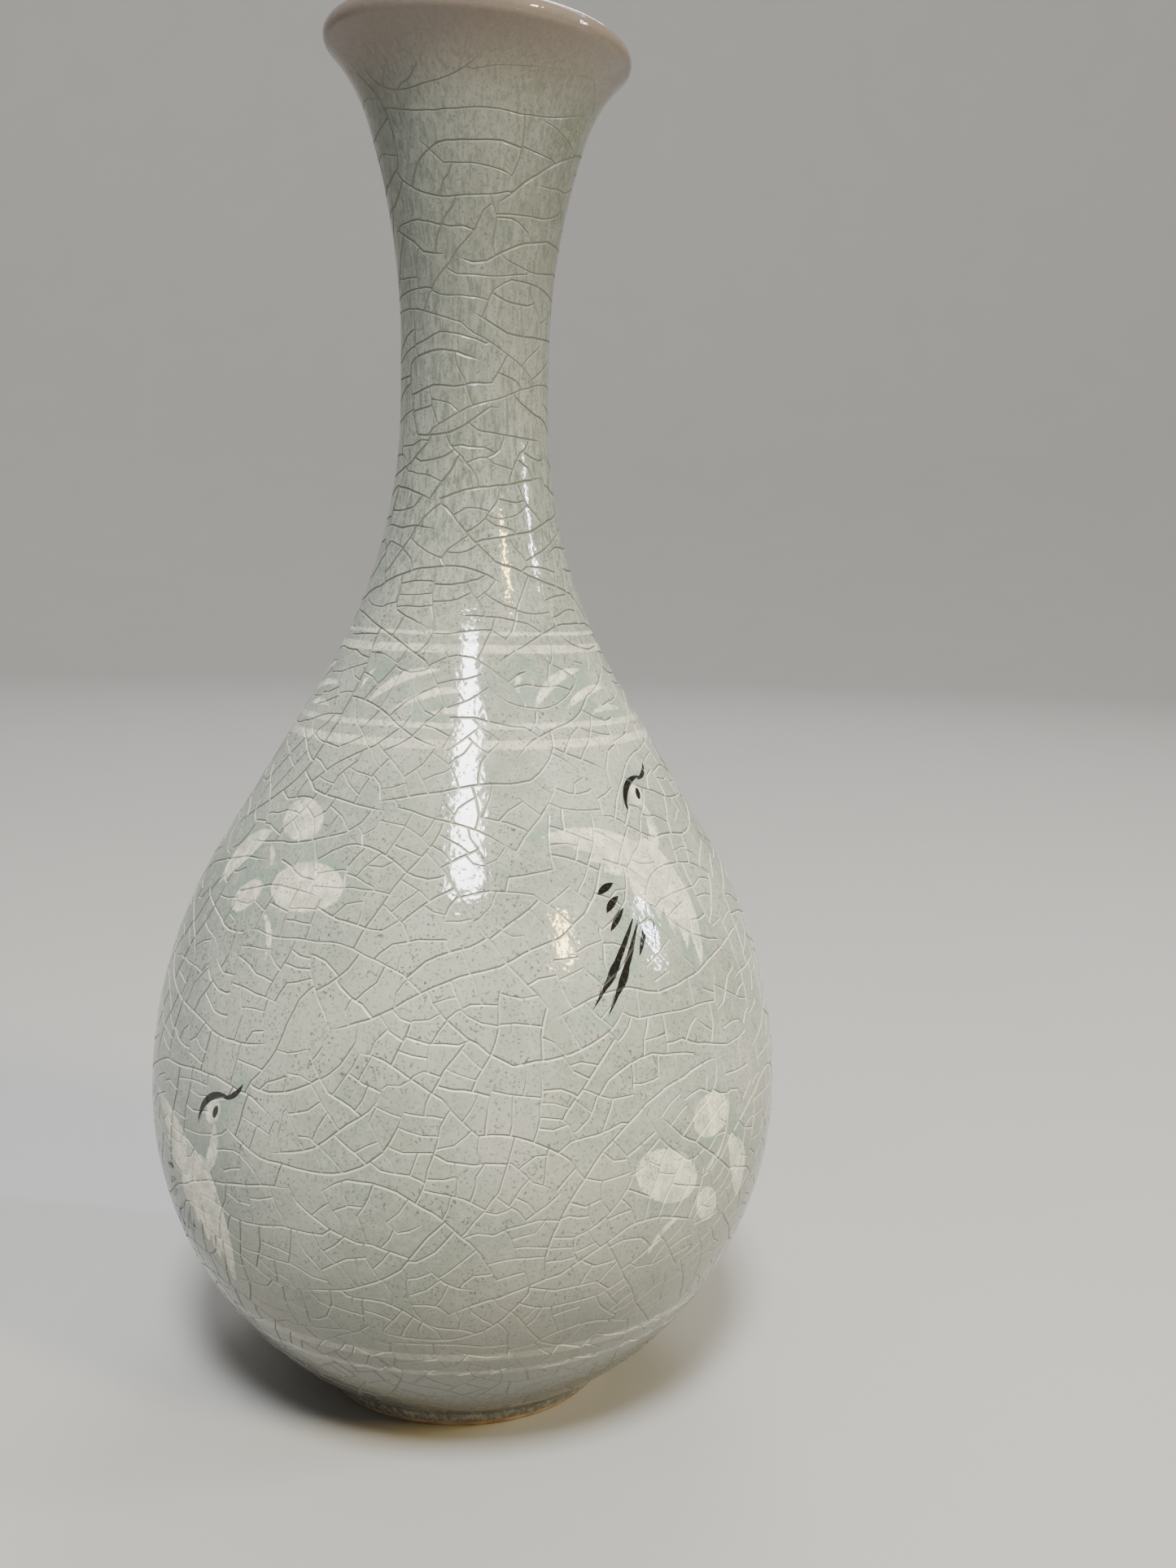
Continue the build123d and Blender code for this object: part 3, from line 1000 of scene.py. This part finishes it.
class Painter:
    """Short calls for building one node material. Positions on it are in millimetres."""

    def __init__(self, name, **shader):
        self.material = bpy.data.materials.new(name)
        self.material.use_nodes = True
        self.nodes = self.material.node_tree.nodes
        self.shader = self.nodes["Principled BSDF"]
        for socket, value in shader.items():
            self.shader.inputs[socket.replace("_", " ").capitalize()].default_value = value
        place = self.nodes.new("ShaderNodeTexCoord").outputs["Object"]
        self.place = self.scaled(place, (1 / metres,) * 3)

    def node(self, kind, settings, *inputs):
        """A node, with its settings, and its first inputs linked, set or, for None, left."""
        node = self.nodes.new(kind)
        for name, value in settings.items():
            setattr(node, name, value)
        for socket, value in zip(node.inputs, inputs):
            self.put(socket, value)
        return node

    def put(self, socket, value):
        if isinstance(value, bpy.types.NodeSocket):
            self.material.node_tree.links.new(value, socket)
        elif value is not None:
            socket.default_value = value

    def scaled(self, vector, factors):
        return self.node("ShaderNodeVectorMath", {"operation": "MULTIPLY"}, vector, factors).outputs[0]

    def math(self, operation, a, b=0.0):
        return self.node("ShaderNodeMath", {"operation": operation}, a, b).outputs[0]

    def noise(self, vector, per_mm, detail=2.0, roughness=0.5):
        return self.node("ShaderNodeTexNoise", {}, vector, None, per_mm, detail, roughness).outputs["Fac"]

    def cells(self, vector, per_mm):
        """The distance to the nearest cell point, and a random number for each cell."""
        node = self.node("ShaderNodeTexVoronoi", {}, vector, None, per_mm)
        chance = self.node("ShaderNodeSeparateColor", {}, node.outputs["Color"]).outputs[0]
        return node.outputs["Distance"], chance

    def spots(self, per_mm, start, end, most, chances):
        """Round spots, in as many of the cells as the chances let through."""
        distance, chance = self.cells(self.place, per_mm)
        return self.both(self.fade(distance, start, end, most, 0.0), self.fade(chance, *chances))

    def both(self, a, b):
        """Two shares multiplied."""
        return self.math("MULTIPLY", a, b)

    def fade(self, value, start, end, low=0.0, high=1.0):
        """Low at the start and before, high at the end and after, and smooth between."""
        smooth = {"interpolation_type": "SMOOTHSTEP"}
        return self.node("ShaderNodeMapRange", smooth, value, start, end, low, high).outputs[0]

    def mix(self, share, a, b):
        node = self.node("ShaderNodeMix", {"data_type": "RGBA"})
        self.put(node.inputs[0], share)
        self.put(node.inputs[6], a)
        self.put(node.inputs[7], b)
        return node.outputs[2]

    def layer(self, name):
        return self.node("ShaderNodeAttribute", {"attribute_name": name}).outputs["Fac"]

    def height(self):
        return self.node("ShaderNodeSeparateXYZ", {}, self.place).outputs[2]

    def colour(self, socket):
        self.put(self.shader.inputs["Base Color"], socket)

    def bump(self, rise, strength, depth):
        """A bump whose full rise is a depth in millimetres."""
        node = self.node("ShaderNodeBump", {})
        node.inputs["Strength"].default_value = strength
        node.inputs["Distance"].default_value = depth * metres
        self.put(node.inputs["Height"], rise)
        self.put(self.shader.inputs["Normal"], node.outputs[0])


celadon_green = (0.292, 0.320, 0.268, 1)
celadon_pale = (0.392, 0.407, 0.345, 1)
streak_pale = (0.475, 0.488, 0.425, 1)
streak_dark = (0.140, 0.168, 0.140, 1)
pool_green = (0.200, 0.295, 0.235, 1)
speck_blue = (0.105, 0.125, 0.120, 1)
crack_stain_and_shade = (0.085, 0.090, 0.068, 1)
painted_crack_light = (0.700, 0.690, 0.580, 1)
dark_glaze_and_painted_shade = (0.100, 0.106, 0.092, 1)
painted_foot_shade = (0.075, 0.068, 0.056, 1)
thin_glaze_and_shade = (0.165, 0.128, 0.108, 1)
slip_cream = (0.860, 0.830, 0.670, 1)
slip_shade = (0.620, 0.610, 0.490, 1)
slip_black = (0.010, 0.009, 0.008, 1)
slip_black_thin = (0.060, 0.058, 0.048, 1)


def specked(paint, colour, share):
    """Fine soft iron specks, close together and uneven, and a few black ones."""
    place = paint.place
    crowd = paint.fade(paint.noise(place, 0.25, 2.0), 0.35, 0.65, 0.5 * share, share)
    fine = paint.both(paint.fade(paint.noise(place, 3.1, 2.0, 0.6), 0.54, 0.68), crowd)
    colour = paint.mix(fine, colour, speck_blue)
    distance, chance = paint.cells(place, 1.7)
    spot = paint.both(paint.fade(distance, 0.10, 0.26, 0.8, 0.0), crowd)
    colour = paint.mix(paint.both(spot, paint.fade(chance, 0.2, 1.0)), colour, speck_blue)
    return paint.mix(paint.spots(0.16, 0.022, 0.040, 0.9, (0.7, 0.75)), colour, slip_black)


def cracked(paint, colour, share):
    """The cracks: painted shade on the upper flank, painted light on the lower one and a stained middle line
    on the neck.
    """
    z, flank = paint.height(), paint.layer("flank")
    below = paint.fade(paint.both(flank, -1.0), 0.05, 0.6)
    # Painted light: the lower right flank of each crack is made pale, as if lit from above, most on the
    # belly.
    lip = paint.both(below, paint.fade(z, 70.0, 105.0, 0.70 * share, 0.15 * share))
    colour = paint.mix(lip, colour, painted_crack_light)
    # Painted shade: the upper left flank of each crack is darkened, as if turned away from the light.
    above = paint.fade(flank, 0.05, 0.6)
    shaded_flank = paint.both(above, paint.fade(z, 60.0, 108.0, 0.85 * share, 0.95 * share))
    colour = paint.mix(shaded_flank, colour, crack_stain_and_shade)
    middle = paint.fade(paint.layer("crack"), 0.05, 0.6)
    return paint.mix(paint.both(middle, paint.fade(z, 78.0, 110.0, 0.0, 0.70 * share)), colour, crack_stain_and_shade)


def celadon_colour(paint):
    """The colour of the glaze: tone, neck streaks, specks, pools, cracks with painted light and shade,
    painted shade low down and at the foot, a lighter foot ring, a darker neck and a thin lip, partly painted
    shade.
    """
    place, z = paint.place, paint.height()
    neck = paint.fade(z, 80.0, 108.0)
    drawn_out = paint.scaled(place, (1.0, 1.0, 0.16))
    tone = paint.fade(paint.noise(place, 0.07, 3.0), 0.36, 0.66)
    colour = paint.mix(tone, celadon_green, celadon_pale)
    mottle = paint.fade(paint.noise(place, 0.8, 4.0, 0.65), 0.44, 0.66, 0.0, 0.40)
    colour = paint.mix(mottle, colour, streak_pale)
    streaks = paint.fade(paint.noise(drawn_out, 1.5, 3.0, 0.6), 0.50, 0.60, 0.0, 0.75)
    colour = paint.mix(paint.both(streaks, neck), colour, streak_pale)
    dark_streaks = paint.fade(paint.noise(drawn_out, 2.2, 3.0, 0.65), 0.50, 0.62, 0.0, 0.75)
    colour = paint.mix(paint.both(dark_streaks, neck), colour, streak_dark)
    colour = specked(paint, colour, 1.0)
    gap = paint.layer("gap")
    pooled = paint.both(paint.fade(gap, 0.0, 2.4, 0.55, 0.0),
                        paint.fade(paint.noise(place, 0.22, 2.0), 0.44, 0.62))
    colour = paint.mix(pooled, colour, pool_green)
    colour = cracked(paint, colour, 1.0)
    low = paint.math("ADD", z, paint.noise(place, 0.3))
    # Painted shade: darker towards the bottom of the belly, as if it faced away from the light.
    colour = paint.mix(paint.fade(low, 3.0, 52.0, 0.88, 0.0), colour, dark_glaze_and_painted_shade)
    # Painted shade: darker still near the foot, as a shadow where the vase meets the floor.
    colour = paint.mix(paint.fade(low, 1.5, 17.0, 0.70, 0.0), colour, painted_foot_shade)
    # Pale crazing on the foot ring, partly painted light: it makes the upright ring lighter, as if it caught
    # more light.
    upright = paint.scaled(place, (1.0, 1.0, 0.4))
    crazed_and_lit = paint.fade(paint.noise(upright, 1.6, 4.0, 0.7), 0.42, 0.62, 0.05, 0.50)
    colour = paint.mix(paint.both(crazed_and_lit, paint.fade(z, 2.4, 2.8, 1.0, 0.0)), colour, celadon_pale)
    # Painted shade: a dark line in the crease where the foot ring meets the belly.
    foot_crease_shade = paint.both(paint.fade(z, 2.3, 2.7, 0.0, 0.8), paint.fade(z, 2.9, 3.8, 1.0, 0.0))
    colour = paint.mix(foot_crease_shade, colour, painted_foot_shade)
    # Darker up the neck.
    colour = paint.mix(paint.fade(z, 72.0, 140.0, 0.0, 0.72), colour, dark_glaze_and_painted_shade)
    # Thin glaze on the lip, its colour partly painted shade, darkened for the shaded underside of the lip.
    return paint.mix(paint.fade(z, 149.0, 159.0, 0.0, 0.90), colour, thin_glaze_and_shade)


def glaze_bump(paint):
    """The glaze's skin: soft pebbles, a fine orange peel and scattered pinholes."""
    place = paint.place
    pebbles = paint.noise(place, 0.9, 1.0)
    peel = paint.noise(place, 2.4, 1.0)
    pinhole = paint.spots(1.3, 0.05, 0.16, 0.6, (0.30, 0.35))
    rise = paint.math("ADD", pebbles, paint.both(peel, 0.30))
    paint.bump(paint.math("SUBTRACT", rise, pinhole), 1.0, 0.045)


def glossy(paint):
    """The finished material: glossy glaze, with worn and duller edges along the cracks."""
    crack = paint.layer("crack")
    paint.put(paint.shader.inputs["Roughness"], paint.fade(crack, 0.0, 0.25, 0.09, 0.45))
    glaze_bump(paint)
    return paint.material


def celadon_glaze():
    paint = Painter("celadon_crackle_glaze")
    paint.colour(celadon_colour(paint))
    return glossy(paint)


def white_slip_under_glaze(name, grain, most, faintest, crazing):
    """White slip seen through the glaze: ragged at its edge, where it fades into the celadon."""
    paint = Painter(name)
    place = paint.place
    brushed = paint.scaled(place, (1.0, 1.0, 0.4))
    mottle = paint.fade(paint.noise(brushed, grain, 3.0, 0.65), 0.36, 0.64)
    colour = specked(paint, paint.mix(mottle, slip_shade, slip_cream), 0.75)
    ragged = paint.math("MULTIPLY_ADD", paint.noise(place, 2.2, 3.0, 0.7), 0.44)
    paint.put(ragged.node.inputs[2], paint.math("SUBTRACT", paint.layer("inset"), 0.22))
    patchy = paint.fade(paint.noise(place, 0.5, 3.0, 0.6), 0.36, 0.60, 0.55 * most, most)
    fainter_low = paint.fade(paint.height(), 15.0, 60.0, faintest, 1.0)
    cover = paint.both(paint.both(paint.fade(ragged, 0.0, 0.22), patchy), fainter_low)
    # The celadon and cracks under the slip bring their painted light and shade with them.
    paint.colour(cracked(paint, paint.mix(cover, celadon_colour(paint), colour), crazing))
    return glossy(paint)


def black_slip_under_glaze():
    """Black slip seen through the glaze: solid, with a few grains missing."""
    paint = Painter("black_slip_under_glaze")
    grains = paint.fade(paint.noise(paint.place, 3.4, 2.0, 0.6), 0.56, 0.66, 0.0, 0.5)
    paint.colour(paint.mix(grains, slip_black, slip_black_thin))
    return glossy(paint)


def bare_clay():
    """Bare fired stoneware: warm tan, matt, gritty and faintly ringed by the turning tool."""
    paint = Painter("bare_stoneware", roughness=0.85)
    place, z = paint.place, paint.height()
    tone = paint.fade(paint.noise(place, 0.35, 3.0), 0.35, 0.65)
    colour = paint.mix(tone, (0.300, 0.190, 0.115, 1), (0.480, 0.330, 0.210, 1))
    grit = paint.spots(1.6, 0.1, 0.3, 0.8, (0.6, 0.65))
    paint.colour(paint.mix(grit, colour, (0.090, 0.065, 0.050, 1)))
    grain = paint.noise(place, 3.5, 3.0, 0.7)
    rings = paint.noise(paint.scaled(place, (0.05, 0.05, 2.5)), 1.0, 1.0)
    paint.bump(paint.math("ADD", grain, rings), 1.0, 0.06)
    return paint.material


def liner_glaze():
    """The inside: the same celadon, without the drawings."""
    paint = Painter("liner_celadon_glaze", roughness=0.15)
    place, z = paint.place, paint.height()
    tone = paint.fade(paint.noise(place, 0.09, 3.0), 0.36, 0.66)
    colour = specked(paint, paint.mix(tone, celadon_green, celadon_pale), 0.55)
    # Thin glaze at the lip, its colour partly painted shade, darkened for the lip's shaded underside.
    paint.colour(paint.mix(paint.fade(z, 150.0, 158.5, 0.0, 0.85), colour, thin_glaze_and_shade))
    glaze_bump(paint)
    return paint.material


# ---------------------------------------------------------------- the studio

def aim(thing, direction):
    thing.rotation_euler = Vector(direction).to_track_quat("-Z", "Y").to_euler()


def panel(name, size, power, colour=(1, 1, 1)):
    """A soft rectangular light."""
    light = bpy.data.lights.new(name, "AREA")
    light.shape = "RECTANGLE"
    light.size, light.size_y = size
    light.energy = power
    light.color = colour
    return new_object(name, light)


def lamp(name, azimuth, elevation, away, size, power, colour=(1, 1, 1), twist=0):
    """A soft panel, aimed at the middle of the vase. Azimuth is from the front towards +X."""
    thing = panel(name, size, power, colour)
    turned, raised = radians(azimuth), radians(elevation)
    out = Vector((cos(raised) * sin(turned), -cos(raised) * cos(turned), sin(raised)))
    thing.location = Vector((0, 0, height / 2 * metres)) + out * away
    aim(thing, -out)
    thing.rotation_euler.rotate_axis("Z", radians(twist))


def wall_light(name, facing, power):
    """A wide panel above the vase that faces away from it and lights the studio's wall."""
    thing = panel(name, (2.2, 0.5), power)
    thing.location = (0, 0.55 * facing, 1.4)
    aim(thing, (0, facing, -0.75))


def studio_bowl():
    """A pale round floor whose edge curves up into a plain wall, far from the vase."""
    flat, bend, tall, around = 1.3, 0.8, 2.2, 96
    profile = [(0.4, 0.0), (flat, 0.0)]
    profile += [(flat + bend * sin(radians(a)), bend - bend * cos(radians(a))) for a in range(5, 91, 5)]
    profile.append((flat + bend, tall))
    places = [(0.0, 0.0, 0.0)]
    places += [(r * cos(turn * k / around), r * sin(turn * k / around), z)
               for r, z in profile for k in range(around)]
    faces = [(0, 1 + k, 1 + (k + 1) % around) for k in range(around)]
    for row in range(len(profile) - 1):
        low, high = 1 + row * around, 1 + (row + 1) * around
        faces += [(low + k, high + k, high + (k + 1) % around, low + (k + 1) % around) for k in range(around)]
    mesh = smooth_mesh("studio_bowl", places, faces)
    bowl = new_object("studio_bowl", mesh)
    paint = Painter("studio_paper", roughness=0.7)
    tone = paint.noise(paint.place, 0.02, 3.0)
    paint.colour(paint.mix(tone, (0.40, 0.395, 0.385, 1), (0.42, 0.415, 0.405, 1)))
    mesh.materials.append(paint.material)


def photo_camera():
    """The camera at the viewing angle of the reference: near, a little above the belly."""
    lens, sensor = 35.5, 36.0
    place = (0.0, -187.9, 99.2)
    yaw, pitch, roll = radians(4.39), radians(7.63), radians(1.21)
    forward = Vector((sin(yaw) * cos(pitch), cos(yaw) * cos(pitch), -sin(pitch)))
    level_right = Vector((cos(yaw), -sin(yaw), 0))
    level_up = level_right.cross(forward)
    right = cos(roll) * level_right + sin(roll) * level_up
    up = cos(roll) * level_up - sin(roll) * level_right
    data = bpy.data.cameras.new("photo_camera")
    data.lens, data.sensor_width, data.sensor_fit = lens, sensor, "VERTICAL"
    data.sensor_height = sensor
    data.clip_start = 0.01
    camera = new_object("photo_camera", data)
    camera.matrix_world = Matrix.Translation(Vector(place) * metres) @ Matrix(
        (right, up, -forward)).transposed().to_4x4()
    bpy.context.scene.camera = camera


def studio():
    studio_bowl()
    lamp("window_panel", -2, 55, 0.95, (0.17, 0.26), 15.5, (0.96, 0.98, 1.0))
    lamp("warm_lamp", 42, 32, 1.1, (0.075, 0.21), 8.0, (1.0, 0.76, 0.26), -25)
    lamp("cool_strip", 82, 22, 1.0, (0.022, 0.23), 4.5, (0.82, 0.90, 1.0), -15)
    lamp("rear_panel", 165, 50, 1.3, (0.5, 0.5), 5)
    wall_light("wall_light_behind", 1, 18)
    wall_light("wall_light_before", -1, 9)
    world = bpy.data.worlds.new("studio_air")
    world.use_nodes = True
    world.node_tree.nodes["Background"].inputs[0].default_value = (0.90, 0.90, 0.90, 1)
    world.node_tree.nodes["Background"].inputs[1].default_value = 0.09
    bpy.context.scene.world = world


# ---------------------------------------------------------------- putting it together

def dress(piece, material):
    piece.data.materials.clear()
    piece.data.materials.append(material)


photo_camera()
studio()
white = white_slip_under_glaze("white_slip_under_glaze", 0.8, 0.97, 0.80, 0.7)
line = white_slip_under_glaze("slip_line_under_glaze", 1.6, 0.72, 0.28, 0.8)
black = black_slip_under_glaze()
celadon = celadon_glaze()
for node, piece in build_outside().items():
    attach(piece, "root")
    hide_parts(node)
    if node == "outer_glaze":
        dress(piece, celadon)
    elif "_black" in node:
        dress(piece, black)
    else:
        dress(piece, line if "_line" in node else white)
liner = build_inside()
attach(liner, "root")
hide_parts("inner_glaze")
dress(liner, liner_glaze())
dress(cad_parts["stoneware_body"], bare_clay())
dress(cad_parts["foot_recess_glaze"], liner.data.materials[0])
